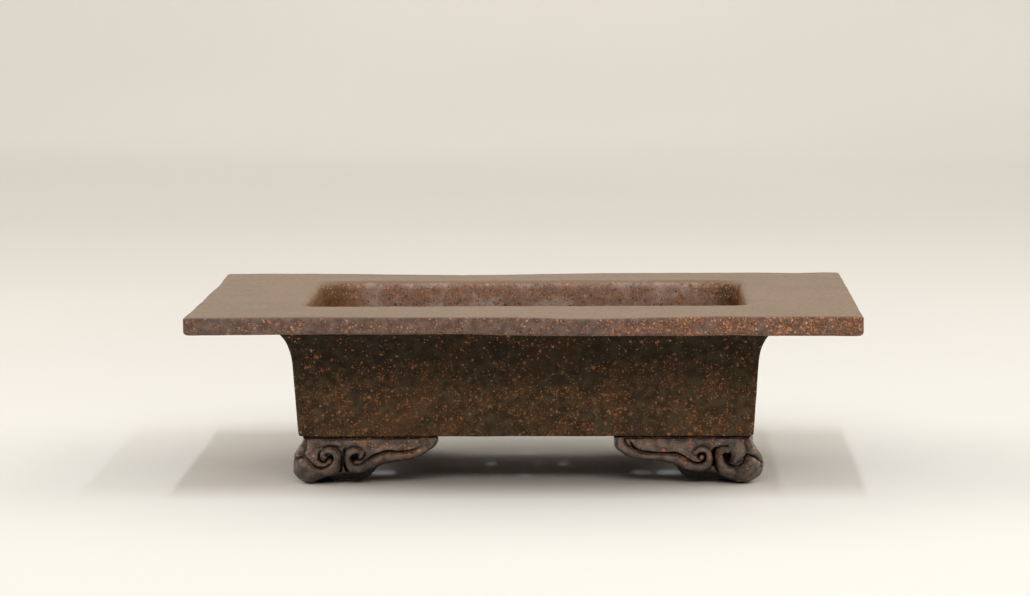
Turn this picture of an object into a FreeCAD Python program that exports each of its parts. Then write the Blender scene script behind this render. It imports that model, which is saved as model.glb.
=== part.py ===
"""Slab-built stoneware bonsai pot: a shallow tray with a wide flat lip on four scroll feet.

Frame: millimetres, +Z up, +X along the length, front face towards -Y.
The origin is the centre of the rectangle that the feet stand on.

The pot is built the way a potter builds it from clay slabs.  A floor slab carries four walls
that flare out under the lip, four lip strips are mitred over them, a soft coil is pressed into
each inside corner, and four feet are stuck under the floor with a seam of slip.

The plan of every wall and lip strip is the same rectangle grown outwards.  REACH is the distance
from the long centre line, so a front point at reach r lies at Y = -r, and the mitre lines leave
the two ends of that centre line at 45 degrees.
"""
import FreeCAD, Part
import math
import os
import Sketcher

DOCUMENT = FreeCAD.newDocument("bonsai_pot")
PARTS_FOLDER = "parts"

DIMENSIONS = [
    # alias, value, what it is
    ("pot_length", 400.0, "lip, outside, along X"),
    ("pot_width", 300.0, "lip, outside, along Y"),
    ("lip_top", 108.0, "top of the lip at the opening, above the ground"),
    ("lip_thickness", 11.0, "height of the lip's edge"),
    ("lip_overhang", 68.0, "from the opening to the outer edge"),
    ("lip_droop", 1.1, "how much lower the outer edge is than the opening"),
    ("lip_inner_round", 5.0, "rounding of the lip at the opening"),
    ("lip_top_round", 1.5, "rounding of the outer edge, top"),
    ("lip_bottom_round", 2.3, "rounding of the outer edge, bottom"),
    ("base_reach", 87.2, "reach of the body's bottom edge"),
    ("wall_lean", 0.067, "outward lean of the wall, run over rise"),
    ("wall_foot_width", 8.6, "wall thickness where it meets the floor"),
    ("flare_rise", 25.0, "height of the flare under the lip"),
    ("flare_bend_rise", 11.0, "height of the tight part of the flare"),
    ("flare_bend_run", 2.3, "how far the gentle part of the flare leaves the wall"),
    ("flare_run", 16.5, "how far the whole flare leaves the wall"),
    ("flare_gentle_radius", 43.7, "radius of the gentle part"),
    ("flare_bend_radius", 16.3, "radius of the tight part"),
    ("floor_thickness", 8.0, "floor slab"),
    ("corner_radius", 8.0, "upright inside corners"),
    ("foot_height", 29.1, "ground to the underside of the floor slab"),
    ("seam_thickness", 0.8, "slip between foot and floor slab"),
    ("seam_proud", 0.9, "how far the slip stands out round the foot"),
    ("foot_thickness", 15.0, "thickness of a foot's two wings"),
    ("foot_setback", 2.0, "face of the foot behind the face of the body"),
    ("foot_neck", 3.0, "foot's neck in from the body's corner"),
    ("foot_cheek_radius", 18.6, "outer curve of a wing below the neck, in elevation"),
    ("foot_lobe_width", 13.0, "half width of the rounded corner lobe"),
    ("foot_lobe_height", 11.4, "half height of the rounded corner lobe"),
    ("foot_lobe_lift", 0.4, "lowest point of the lobe above the sole"),
    ("foot_lobe_proud", 5.0, "how far the lobe stands out beyond the body's corner"),
    ("sole_start", 4.0, "where the sole starts, in from the body's corner"),
    ("sole_end", 15.5, "where the sole ends"),
    ("second_sole_start", 24.0, "start of the raised underside below the wing scroll"),
    ("second_sole_end", 38.0, "its end"),
    ("second_sole_rise", 6.8, "its height above the ground"),
    ("wing_slope_run", 15.0, "run of the slope from there up to the wing's slim part"),
    ("wing_rise", 13.9, "height of the slim part's underside above the ground"),
    ("foot_nose_run", 10.0, "run of the curve at the wing's end"),
    ("foot_nose_lift", 1.8, "rise of the slim part's underside on its way to that curve"),
    ("foot_nose_radius", 12.0, "radius of that curve"),
    ("foot_nose_rise", 4.8, "upright end of a wing under the floor slab"),
    ("front_wing_length", 84.2, "wing along X, from the body's corner"),
    ("side_wing_length", 66.0, "wing along Y, from the body's corner"),
    ("scroll_outer_radius", 5.4, "scroll eye, outside of its groove"),
    ("scroll_inner_radius", 3.4, "scroll eye, inside of its groove"),
    ("scroll_depth", 1.2, "depth of the groove"),
    ("scroll_height", 15.8, "height of the scroll eyes above the ground"),
    ("scroll_first", 16.4, "corner scroll, in from the body's corner"),
    ("scroll_second", 34.5, "wing scroll, in from the body's corner"),
    ("drain_radius", 8.0, "drain holes"),
    ("drain_x", 87.0, "drain holes, half their spacing along X"),
    ("drain_y", 41.0, "drain holes, half their spacing along Y"),
    ("wire_radius", 3.8, "tie-wire holes"),
    ("wire_x", 22.5, "tie-wire holes on the long axis, from the centre"),
    ("wire_y", 54.0, "tie-wire holes on the short axis, from the centre"),
]


class Measure:
    """A length together with the sheet expression that gives it, so a sketch starts out right."""

    def __init__(self, text, value):
        self.text = text
        self.value = value

    def combine(self, sign, other):
        if not isinstance(other, Measure):
            other = Measure(repr(other), other)
        results = {
            "+": self.value + other.value,
            "-": self.value - other.value,
            "*": self.value * other.value,
        }
        return Measure(f"({self.text} {sign} {other.text})", results[sign])

    def __add__(self, other):
        return self.combine("+", other)

    def __sub__(self, other):
        return self.combine("-", other)

    def __mul__(self, other):
        return self.combine("*", other)

    def __neg__(self):
        return Measure(f"(-1 * {self.text})", -self.value)


def make_sheet():
    """Puts the driving dimensions in a spreadsheet: name, value and note on each row."""
    sheet = DOCUMENT.addObject("Spreadsheet::Sheet", "sizes")
    for row, (alias, value, note) in enumerate(DIMENSIONS, start=1):
        sheet.set(f"A{row}", alias)
        sheet.set(f"B{row}", str(value))
        sheet.set(f"C{row}", note)
        sheet.setAlias(f"B{row}", alias)
    DOCUMENT.recompute()
    return sheet


SHEET = make_sheet()


def size(alias):
    return Measure(f"sizes.{alias}", float(SHEET.get(alias)))


def bind(thing, prop, measure):
    """Binds one property to the sheet."""
    thing.setExpression(prop, measure.text)


# ---------------------------------------------------------------- levels and reaches

ZERO = size("foot_height") * 0
HALF_LENGTH_EXCESS = (size("pot_length") - size("pot_width")) * 0.5
BODY_BOTTOM = size("foot_height")
FLOOR_TOP = BODY_BOTTOM + size("floor_thickness")
LIP_UNDERSIDE = size("lip_top") - size("lip_thickness")
LIP_OUTER_REACH = size("pot_width") * 0.5
OPENING_REACH = LIP_OUTER_REACH - size("lip_overhang")
FOOT_TOP = size("foot_height") - size("seam_thickness")
BODY_CORNER_X = HALF_LENGTH_EXCESS + size("base_reach")
BODY_CORNER_Y = size("base_reach")
DROOP_SLOPE = Measure("(sizes.lip_droop / sizes.lip_overhang)",
                      size("lip_droop").value / size("lip_overhang").value)


def wall_reach(height):
    """Reach of the wall's straight outer face at a height above the ground."""
    return size("base_reach") + (height - BODY_BOTTOM) * size("wall_lean")


def lip_level(height, reach):
    """Height of a lip surface at a reach, when it is `height` at the opening."""
    return height - (reach - OPENING_REACH) * DROOP_SLOPE


# ---------------------------------------------------------------- sketches and bodies

def new_body(label):
    body = DOCUMENT.addObject("PartDesign::Body", label)
    body.Label = label
    return body


def origin_plane(body, role):
    for feature in body.Origin.OriginFeatures:
        if feature.Role == role:
            return feature
    raise ValueError(f"{body.Label} has no {role}")


def new_sketch(body, name, plane, offset=None):
    """Adds a sketch on one of the body's own origin planes, moved along its normal by offset."""
    sketch = body.newObject("Sketcher::SketchObject", f"{body.Label}_{name}")
    sketch.AttachmentSupport = [(origin_plane(body, plane), "")]
    sketch.MapMode = "FlatFace"
    if offset is not None:
        bind(sketch, ".AttachmentOffset.Base.z", offset)
    return sketch


def fix_point(sketch, geometry, point_number, across, up):
    """Ties one point of a sketch to the origin by two lengths from the sheet."""
    for kind, measure in (("DistanceX", across), ("DistanceY", up)):
        constraint = Sketcher.Constraint(kind, -1, 1, geometry, point_number, measure.value)
        index = sketch.addConstraint(constraint)
        bind(sketch, f"Constraints[{index}]", measure)


def arc_between(start, end, radius):
    """Minor arc between two points, and whether it starts at the first of them.
    A positive radius bulges to the right of the way from start to end.  Sketch arcs always
    run anticlockwise, so one that bulges to the left is drawn from the end."""
    from_start = radius > 0
    first, last = (start, end) if from_start else (end, start)
    chord = last - first
    depth = math.sqrt(radius ** 2 - (chord.Length / 2) ** 2)
    towards_centre = FreeCAD.Vector(-chord.y, chord.x, 0).normalize()
    centre = (first + last) * 0.5 + towards_centre * depth
    first_angle = math.atan2(first.y - centre.y, first.x - centre.x)
    last_angle = math.atan2(last.y - centre.y, last.x - centre.x)
    circle = Part.Circle(centre, FreeCAD.Vector(0, 0, 1), abs(radius))
    return Part.ArcOfCircle(circle, first_angle, last_angle), from_start


def draw_outline(sketch, corners):
    """Closed outline.  A corner is (across, up), with a third value, the radius of an arc
    to the next corner, positive when it bulges to the right of the way."""
    points = [FreeCAD.Vector(corner[0].value, corner[1].value, 0) for corner in corners]
    ends = []
    for number, corner in enumerate(corners):
        start = points[number]
        end = points[(number + 1) % len(points)]
        if len(corner) == 3:
            arc, from_start = arc_between(start, end, corner[2].value)
            index = sketch.addGeometry(arc, False)
            radius = corner[2] if from_start else -corner[2]
            constraint = sketch.addConstraint(Sketcher.Constraint("Radius", index, radius.value))
            bind(sketch, f"Constraints[{constraint}]", radius)
            ends.append((index, 1, 2) if from_start else (index, 2, 1))
        else:
            index = sketch.addGeometry(Part.LineSegment(start, end), False)
            ends.append((index, 1, 2))
    for number, (index, first, _) in enumerate(ends):
        before, _, last = ends[number - 1]
        sketch.addConstraint(Sketcher.Constraint("Coincident", before, last, index, first))
        fix_point(sketch, index, first, corners[number][0], corners[number][1])


def draw_circle(sketch, across, up, radius):
    centre = FreeCAD.Vector(across.value, up.value, 0)
    axis = FreeCAD.Vector(0, 0, 1)
    index = sketch.addGeometry(Part.Circle(centre, axis, radius.value), False)
    fix_point(sketch, index, 3, across, up)
    constraint = sketch.addConstraint(Sketcher.Constraint("Radius", index, radius.value))
    bind(sketch, f"Constraints[{constraint}]", radius)


def pad(body, sketch, length, reversed_way=False, symmetric=False):
    feature = body.newObject("PartDesign::Pad", f"{sketch.Name}_pad")
    feature.Profile = sketch
    feature.SideType = "Symmetric" if symmetric else "One side"
    feature.Reversed = reversed_way
    bind(feature, "Length", length)
    return feature


def cut(body, sketch, depth=None, reversed_way=False):
    """Pockets the sketch, right through both ways when no depth is given.
    Stops the build when nothing is removed."""
    DOCUMENT.recompute()
    volume_before = body.Shape.Volume
    feature = body.newObject("PartDesign::Pocket", f"{sketch.Name}_cut")
    feature.Profile = sketch
    if depth is None:
        feature.SideType = "Symmetric"
        feature.Type = "ThroughAll"
    else:
        feature.Reversed = reversed_way
        bind(feature, "Length", depth)
    DOCUMENT.recompute()
    if not body.Shape.Volume < volume_before - 1:
        raise ValueError(f"{feature.Name} removes nothing")
    return feature


def round_edges(body, radius, points):
    """Fillets the edges of the body so far that pass through the given points."""
    DOCUMENT.recompute()
    base = body.Tip
    names = []
    for number, edge in enumerate(body.Shape.Edges, start=1):
        if any(edge.distToShape(Part.Vertex(point))[0] < 1e-4 for point in points):
            names.append(f"Edge{number}")
    if len(names) != len(points):
        raise ValueError(f"{body.Label}: {len(names)} edges found for {len(points)} points")
    feature = body.newObject("PartDesign::Fillet", f"{body.Label}_round")
    feature.Base = (base, names)
    bind(feature, "Radius", radius)
    DOCUMENT.recompute()
    return feature


# ---------------------------------------------------------------- walls and lip strips

class Side:
    """One side of the pot: its name, the plane its section is drawn on, and which way is out."""

    def __init__(self, name, section_plane, outward, is_long):
        self.name = name
        self.section_plane = section_plane
        self.outward = outward
        self.start = ZERO if is_long else HALF_LENGTH_EXCESS
        self.run = HALF_LENGTH_EXCESS if is_long else ZERO
        self.is_long = is_long

    def out(self, reach):
        """Coordinate of a reach along the side's outward axis."""
        return (self.start + reach) * self.outward

    def half_run(self, reach):
        """Half the side's length at a reach, up to the mitre."""
        return self.run + reach

    def plan(self, along, reach):
        """Plan position, as X and Y, of a point along the side at a reach."""
        return (along, self.out(reach)) if self.is_long else (self.out(reach), along)


SIDES = [
    Side("front", "YZ_Plane", -1, True),
    Side("back", "YZ_Plane", 1, True),
    Side("left", "XZ_Plane", -1, False),
    Side("right", "XZ_Plane", 1, False),
]


def mitred_strip(side, label, section, inner_reach, outer_reach):
    """A strip of constant section along one side, mitred at both ends."""
    body = new_body(label)
    profile = new_sketch(body, "section", side.section_plane)
    corners = []
    for corner in section:
        placed = [side.out(corner[0]), corner[1]]
        if len(corner) == 3:
            placed.append(corner[2] * side.outward)
        corners.append(placed)
    draw_outline(profile, corners)
    pad(body, profile, side.half_run(outer_reach) * 2, symmetric=True)
    ends = new_sketch(body, "mitres", "XY_Plane")
    for end in (-1, 1):
        draw_outline(ends, [
            side.plan(side.half_run(inner_reach) * end, inner_reach),
            side.plan(side.half_run(outer_reach) * end, outer_reach),
            side.plan(side.half_run(outer_reach) * end, inner_reach),
        ])
    cut(body, ends)
    return body


def make_wall(side):
    """A wall stands on the floor slab, leans outwards and flares into the lip."""
    flare_start = LIP_UNDERSIDE - size("flare_rise")
    flare_bend = LIP_UNDERSIDE - size("flare_bend_rise")
    inner_foot_reach = wall_reach(FLOOR_TOP) - size("wall_foot_width")
    top_reach = wall_reach(LIP_UNDERSIDE) + size("flare_run")
    section = [
        (inner_foot_reach, FLOOR_TOP),
        (wall_reach(FLOOR_TOP), FLOOR_TOP),
        (wall_reach(flare_start), flare_start, -size("flare_gentle_radius")),
        (wall_reach(flare_bend) + size("flare_bend_run"), flare_bend, -size("flare_bend_radius")),
        (top_reach, lip_level(LIP_UNDERSIDE, top_reach)),
        (OPENING_REACH, LIP_UNDERSIDE),
    ]
    return mitred_strip(side, f"wall_{side.name}", section, inner_foot_reach, top_reach)


def make_lip(side):
    """A lip strip lies on the wall, overhangs it and is rounded on its three free edges."""
    outer_bottom = lip_level(LIP_UNDERSIDE, LIP_OUTER_REACH)
    outer_top = lip_level(size("lip_top"), LIP_OUTER_REACH)
    section = [
        (OPENING_REACH, LIP_UNDERSIDE),
        (LIP_OUTER_REACH, outer_bottom),
        (LIP_OUTER_REACH, outer_top),
        (OPENING_REACH, size("lip_top")),
    ]
    body = mitred_strip(side, f"lip_{side.name}", section, OPENING_REACH, LIP_OUTER_REACH)

    def middle_of_edge(reach, height):
        across, along = side.plan(ZERO, reach)
        return FreeCAD.Vector(across.value, along.value, height.value)

    round_edges(body, size("lip_bottom_round"), [middle_of_edge(LIP_OUTER_REACH, outer_bottom)])
    round_edges(body, size("lip_top_round"), [middle_of_edge(LIP_OUTER_REACH, outer_top)])
    round_edges(body, size("lip_inner_round"), [middle_of_edge(OPENING_REACH, size("lip_top"))])
    return body


# ---------------------------------------------------------------- floor and inside corners

def make_floor():
    """The floor slab, with its edges leaning like the walls, the drain holes near the ends
    and the smaller holes for the wires that tie the tree in."""
    body = new_body("floor_slab")
    outline = new_sketch(body, "outline", "XY_Plane", BODY_BOTTOM)
    draw_outline(outline, [
        (-BODY_CORNER_X, -BODY_CORNER_Y),
        (BODY_CORNER_X, -BODY_CORNER_Y),
        (BODY_CORNER_X, BODY_CORNER_Y),
        (-BODY_CORNER_X, BODY_CORNER_Y),
    ])
    slab = pad(body, outline, size("floor_thickness"))
    slab.setExpression("TaperAngle", "atan(sizes.wall_lean)")
    holes = new_sketch(body, "holes", "XY_Plane")
    for x_sign in (-1, 1):
        for y_sign in (-1, 1):
            draw_circle(holes, size("drain_x") * x_sign, size("drain_y") * y_sign,
                        size("drain_radius"))
        draw_circle(holes, size("wire_x") * x_sign, ZERO, size("wire_radius"))
        draw_circle(holes, ZERO, size("wire_y") * x_sign, size("wire_radius"))
    cut(body, holes)
    return body


def corner_outline(sketch, reach, x_sign, y_sign):
    """Plan of an inside corner coil: two straight backs and a hollow face."""
    radius = size("corner_radius")
    corner_x = (HALF_LENGTH_EXCESS + reach) * x_sign
    corner_y = reach * y_sign
    draw_outline(sketch, [
        (corner_x, corner_y),
        (corner_x - radius * x_sign, corner_y, -radius * (x_sign * y_sign)),
        (corner_x, corner_y - radius * y_sign),
    ])


def make_corner_coil(label, x_sign, y_sign):
    """The coil of clay pressed into an upright inside corner and smoothed hollow."""
    body = new_body(label)
    inner_foot_reach = wall_reach(FLOOR_TOP) - size("wall_foot_width")
    bottom = new_sketch(body, "bottom", "XY_Plane", FLOOR_TOP)
    corner_outline(bottom, inner_foot_reach, x_sign, y_sign)
    top = new_sketch(body, "top", "XY_Plane", LIP_UNDERSIDE)
    corner_outline(top, OPENING_REACH, x_sign, y_sign)
    DOCUMENT.recompute()
    loft = body.newObject("PartDesign::AdditiveLoft", f"{label}_loft")
    loft.Profile = bottom
    loft.Sections = [top]
    loft.Ruled = True
    DOCUMENT.recompute()
    collar = new_sketch(body, "collar", "XY_Plane", LIP_UNDERSIDE)
    corner_outline(collar, OPENING_REACH, x_sign, y_sign)
    pad(body, collar, size("lip_thickness") - size("lip_inner_round"))
    return body


# ---------------------------------------------------------------- feet

def wing_outline(corner, sign, wing_length):
    """Elevation of one wing of a foot: neck, outer cheek, sole, raised underside below the
    wing scroll, slim part and rounded end.  It is drawn from the body's corner inwards, for
    the side that `sign` gives."""

    def inward(distance):
        return (corner - distance) * sign

    shoulder_rise = size("wing_rise") + size("foot_nose_lift")
    return [
        (inward(size("foot_neck")), FOOT_TOP, size("foot_cheek_radius") * -sign),
        (inward(size("sole_start")), ZERO),
        (inward(size("sole_end")), ZERO),
        (inward(size("second_sole_start")), size("second_sole_rise")),
        (inward(size("second_sole_end")), size("second_sole_rise")),
        (inward(size("second_sole_end") + size("wing_slope_run")), size("wing_rise")),
        (inward(wing_length - size("foot_nose_run")), shoulder_rise,
         size("foot_nose_radius") * -sign),
        (inward(wing_length), FOOT_TOP - size("foot_nose_rise")),
        (inward(wing_length), FOOT_TOP),
    ]


def scroll_grooves(body, name, plane, face, corner, sign, way):
    """Cuts the two round scroll eyes into one face of a foot."""
    sketch = new_sketch(body, name, plane, face)
    for distance in (size("scroll_first"), size("scroll_second")):
        centre = (corner - distance) * sign
        draw_circle(sketch, centre, size("scroll_height"), size("scroll_outer_radius"))
        draw_circle(sketch, centre, size("scroll_height"), size("scroll_inner_radius"))
    cut(body, sketch, size("scroll_depth"), way)


def make_foot(label, x_sign, y_sign):
    """A corner foot: one wing under the long wall, one under the end wall, and a round lobe
    where they meet.  The XZ plane's normal is -Y, so its offsets have the opposite sign."""
    body = new_body(label)
    face_x = (BODY_CORNER_X - size("foot_setback")) * x_sign
    face_y = (BODY_CORNER_Y - size("foot_setback")) * y_sign
    front = new_sketch(body, "front", "XZ_Plane", -face_y)
    draw_outline(front, wing_outline(BODY_CORNER_X, x_sign, size("front_wing_length")))
    pad(body, front, size("foot_thickness"), reversed_way=y_sign < 0)
    side = new_sketch(body, "side", "YZ_Plane", face_x)
    draw_outline(side, wing_outline(BODY_CORNER_Y, y_sign, size("side_wing_length")))
    pad(body, side, size("foot_thickness"), reversed_way=x_sign > 0)
    DOCUMENT.recompute()

    lobe = body.newObject("PartDesign::AdditiveEllipsoid", f"{label}_lobe")
    inset = size("foot_lobe_width") - size("foot_lobe_proud")
    bind(lobe, "Radius1", size("foot_lobe_height"))
    bind(lobe, "Radius2", size("foot_lobe_width"))
    bind(lobe, "Radius3", size("foot_lobe_width"))
    bind(lobe, ".Placement.Base.x", (BODY_CORNER_X - inset) * x_sign)
    bind(lobe, ".Placement.Base.y", (BODY_CORNER_Y - inset) * y_sign)
    bind(lobe, ".Placement.Base.z", size("foot_lobe_height") + size("foot_lobe_lift"))

    scroll_grooves(body, "front_scrolls", "XZ_Plane", -face_y, BODY_CORNER_X, x_sign,
                   y_sign > 0)
    scroll_grooves(body, "side_scrolls", "YZ_Plane", face_x, BODY_CORNER_Y, y_sign,
                   x_sign < 0)
    return body


def make_seam(label, x_sign, y_sign):
    """The thin seam of slip between a foot's top and the floor slab, squeezed out all round."""
    body = new_body(label)
    proud = size("seam_proud")
    near_x = BODY_CORNER_X - size("foot_setback") + proud
    near_y = BODY_CORNER_Y - size("foot_setback") + proud
    far_x = BODY_CORNER_X - size("front_wing_length") - proud
    far_y = BODY_CORNER_Y - size("side_wing_length") - proud
    inner_x = BODY_CORNER_X - size("foot_setback") - size("foot_thickness") - proud
    inner_y = BODY_CORNER_Y - size("foot_setback") - size("foot_thickness") - proud
    outline = new_sketch(body, "outline", "XY_Plane", FOOT_TOP)
    draw_outline(outline, [
        (near_x * x_sign, near_y * y_sign),
        (far_x * x_sign, near_y * y_sign),
        (far_x * x_sign, inner_y * y_sign),
        (inner_x * x_sign, inner_y * y_sign),
        (inner_x * x_sign, far_y * y_sign),
        (near_x * x_sign, far_y * y_sign),
    ])
    pad(body, outline, size("seam_thickness"))
    return body


# ---------------------------------------------------------------- the pot

def make_pot():
    pieces = [make_floor()]
    for side in SIDES:
        pieces.append(make_wall(side))
        pieces.append(make_lip(side))
    for y_name, y_sign in (("front", -1), ("back", 1)):
        for x_name, x_sign in (("left", -1), ("right", 1)):
            corner = f"{y_name}_{x_name}"
            pieces.append(make_corner_coil(f"corner_coil_{corner}", x_sign, y_sign))
            pieces.append(make_seam(f"slip_seam_{corner}", x_sign, y_sign))
            pieces.append(make_foot(f"foot_{corner}", x_sign, y_sign))
    return pieces


def check(pieces):
    """Stops the build when anything in the document failed or a piece isn't one good solid."""
    DOCUMENT.recompute()
    for thing in DOCUMENT.Objects:
        if "Invalid" in thing.State or "Error" in thing.State:
            raise ValueError(f"{thing.Name} failed: {thing.State}")
    for piece in pieces:
        shape = piece.Shape
        if shape.isNull() or not shape.isValid() or len(shape.Solids) != 1:
            raise ValueError(f"{piece.Label} is not one valid solid")


def write(pieces):
    os.makedirs(PARTS_FOLDER, exist_ok=True)
    for piece in pieces:
        piece.Shape.exportStep(f"{PARTS_FOLDER}/{piece.Label}.step")
        box = piece.Shape.optimalBoundingBox()
        print(f"{piece.Label}: {piece.Shape.Volume / 1000:.1f} cm3,",
              f"X {box.XMin:.1f} to {box.XMax:.1f}, Y {box.YMin:.1f} to {box.YMax:.1f},",
              f"Z {box.ZMin:.1f} to {box.ZMax:.1f}")


POT = make_pot()
check(POT)
write(POT)
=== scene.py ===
"""Looks of a hand-built, unglazed stoneware bonsai pot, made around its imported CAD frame.

Every length is in metres in the CAD frame: +X along the pot, front face towards -Y, ground at
z = 0.  REACH is the distance outwards from the pot's long centre line, so the rings of the pot
are rectangles of half sizes (EXCESS + reach, reach), as in the CAD.

Each CAD node is replaced by a finer piece of the same clay part: lip strips and walls with
drying warps and softened edges, a floor with rounded holes, hollow corner coils, carved scroll
feet and squeezed-out slip seams.
"""

import math

import bmesh
import bpy
import numpy as np
from mathutils import Euler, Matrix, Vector


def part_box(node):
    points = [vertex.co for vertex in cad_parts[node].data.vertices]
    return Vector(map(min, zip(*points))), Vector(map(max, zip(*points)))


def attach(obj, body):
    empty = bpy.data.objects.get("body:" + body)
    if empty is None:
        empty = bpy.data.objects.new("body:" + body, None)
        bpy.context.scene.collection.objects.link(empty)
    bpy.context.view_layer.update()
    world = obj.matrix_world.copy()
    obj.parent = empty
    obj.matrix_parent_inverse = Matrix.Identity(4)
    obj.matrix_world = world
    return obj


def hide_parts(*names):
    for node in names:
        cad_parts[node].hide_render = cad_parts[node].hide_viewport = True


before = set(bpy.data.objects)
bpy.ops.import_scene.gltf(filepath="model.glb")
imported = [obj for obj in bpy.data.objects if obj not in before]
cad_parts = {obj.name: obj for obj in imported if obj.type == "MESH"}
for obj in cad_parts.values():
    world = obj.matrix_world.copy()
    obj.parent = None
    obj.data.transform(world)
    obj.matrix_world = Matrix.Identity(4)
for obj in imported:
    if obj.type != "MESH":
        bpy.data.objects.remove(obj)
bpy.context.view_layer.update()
MM = 0.001

# ---------------------------------------------------------------- sizes read from the frame

LIP_LOW, LIP_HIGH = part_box("lip_front")
WALL_LOW, WALL_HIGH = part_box("wall_front")
FLOOR_LOW, FLOOR_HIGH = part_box("floor_slab")

LIP_REACH = -LIP_LOW.y                       # outer edge of the lip
OPENING_REACH = -LIP_HIGH.y                  # edge of the opening
EXCESS = LIP_HIGH.x - LIP_REACH              # half of length less width
LIP_TOP = LIP_HIGH.z
LIP_EDGE_BOTTOM = LIP_LOW.z
LIP_UNDERSIDE = WALL_HIGH.z                  # where the lip lies on the walls
LIP_THICKNESS = 11.0 * MM
FLOOR_TOP = WALL_LOW.z
BODY_BOTTOM = FLOOR_LOW.z
BASE_TOP_REACH = FLOOR_HIGH.y                # body's outer face at the floor's top
INNER_FOOT_REACH = -WALL_HIGH.y              # wall's inner face at the floor
WALL_LEAN = 0.067                            # run over rise of the outer face
CORNER_X = EXCESS + BASE_TOP_REACH - (FLOOR_TOP - BODY_BOTTOM) * WALL_LEAN
CORNER_Y = CORNER_X - EXCESS
FOOT_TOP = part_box("foot_front_left")[1].z
FRONT_WING = CORNER_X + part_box("foot_front_left")[1].x
SIDE_WING = CORNER_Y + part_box("foot_front_left")[1].y

SIDES = ("front", "back", "left", "right")
CORNERS = [(f"{y_name}_{x_name}", x_sign, y_sign)
           for y_name, y_sign in (("front", -1), ("back", 1))
           for x_name, x_sign in (("left", -1), ("right", 1))]

# ---------------------------------------------------------------- small maths


def smoothstep(low, high, value):
    t = np.clip((value - low) / (high - low), 0.0, 1.0)
    return t * t * (3.0 - 2.0 * t)


def lattice_hash(cells, seed):
    """One fixed pseudo-random number from -1 to 1 for each integer cell."""
    mixed = (cells[..., 0] * 73856093) ^ (cells[..., 1] * 19349663) ^ (cells[..., 2] * 83492791)
    mixed = (mixed ^ (seed * 2654435761)) & 0xFFFFFFFF
    mixed = ((mixed ^ (mixed >> 15)) * 2246822519) & 0xFFFFFFFF
    mixed = ((mixed ^ (mixed >> 13)) * 3266489917) & 0xFFFFFFFF
    mixed = mixed ^ (mixed >> 16)
    return mixed / 0x7FFFFFFF - 1.0


def noise(points, cell, seed):
    """Smooth value noise from -1 to 1 over points of shape (..., 3), with cells of one size."""
    scaled = np.asarray(points) / cell
    base = np.floor(scaled).astype(np.int64)
    part = scaled - base
    part = part * part * (3.0 - 2.0 * part)
    total = 0.0
    for dx in (0, 1):
        for dy in (0, 1):
            for dz in (0, 1):
                weight = (np.where(dx, part[..., 0], 1 - part[..., 0])
                          * np.where(dy, part[..., 1], 1 - part[..., 1])
                          * np.where(dz, part[..., 2], 1 - part[..., 2]))
                total = total + weight * lattice_hash(base + (dx, dy, dz), seed)
    return total


def hand_wobble(points, amplitude, cell, seed):
    """Moves points by a smooth random vector, the same for any two pieces that share a place."""
    shift = np.stack([noise(points, cell, seed + axis) for axis in range(3)], axis=-1)
    return points + shift * amplitude


# ---------------------------------------------------------------- drying warps of the pot

# Local rises of the lip's edges in millimetres: rise, place along the edge and width.
FRONT_TOP_SWELLS = [(-0.95, 42.0, 32.0), (0.25, -130.0, 40.0), (0.3, 118.0, 16.0)]
FRONT_BOTTOM_SWELLS = [(0.7, -115.0, 48.0), (0.9, -40.0, 30.0), (0.4, 118.0, 16.0)]
BACK_SWELLS = [(-1.15, -40.0, 62.0), (-0.3, 172.0, 14.0)]
LEFT_SWELLS = [(1.6, 70.0, 42.0), (0.7, -30.0, 70.0)]
FRONT_TOP_LIFT = 0.6
FRONT_BOTTOM_LIFT = 0.35
FRONT_BOTTOM_RUN = 350.0        # along this length the lower edge falls by one millimetre
LONG_LIP_BAND = (95.0, 148.0)   # where a warp grows from nothing to its whole, across a long lip
SHORT_LIP_BAND = (140.0, 198.0)

# Random unevenness: amplitude, size and seed.
SLUMP = (0.16 * MM, 34.0 * MM, 11)
DENTS = (0.10 * MM, 9.0 * MM, 21)
GRAIN = (0.045 * MM, 3.1 * MM, 31)


def swells(place, shapes):
    """Sum of smooth local rises along one coordinate, all in millimetres."""
    return sum(rise * np.exp(-((place - centre) / width) ** 2) for rise, centre, width in shapes)


def warp_body(points):
    """Bends the pot's upper parts as slabs do when they dry: the long lips sag a little between
    their corners, the left lip draws in, and everything wanders by fractions of a millimetre."""
    points = np.array(points, float)
    x, y, z = points[..., 0] / MM, points[..., 1] / MM, points[..., 2]
    front_edge = smoothstep(*LONG_LIP_BAND, -y)
    back_edge = smoothstep(*LONG_LIP_BAND, y)
    left_edge = smoothstep(*SHORT_LIP_BAND, -x)
    lip = smoothstep(LIP_EDGE_BOTTOM - 4.0 * MM, LIP_EDGE_BOTTOM, z)
    level = np.clip((z - LIP_EDGE_BOTTOM) / LIP_THICKNESS, 0.0, 1.0)
    front_top = swells(x, FRONT_TOP_SWELLS) + FRONT_TOP_LIFT
    front_bottom = swells(x, FRONT_BOTTOM_SWELLS) + (FRONT_BOTTOM_LIFT - x / FRONT_BOTTOM_RUN)
    front = front_bottom + (front_top - front_bottom) * level
    back = swells(x, BACK_SWELLS)
    left = swells(y, LEFT_SWELLS)
    points[..., 2] = z + lip * (front * front_edge + back * back_edge) * MM
    points[..., 0] = (x + lip * left * left_edge) * MM
    return hand_wobble(points, *SLUMP)


def clay_surface(points):
    """The warp plus the shallow dents and grains that a scraper leaves."""
    return hand_wobble(hand_wobble(warp_body(points), *DENTS), *GRAIN)


# ---------------------------------------------------------------- mesh building

SHARP_ANGLE = math.radians(38.0)        # edges that turn more than this look sharp
CARVED_SHARP_ANGLE = math.radians(60.0)


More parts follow.
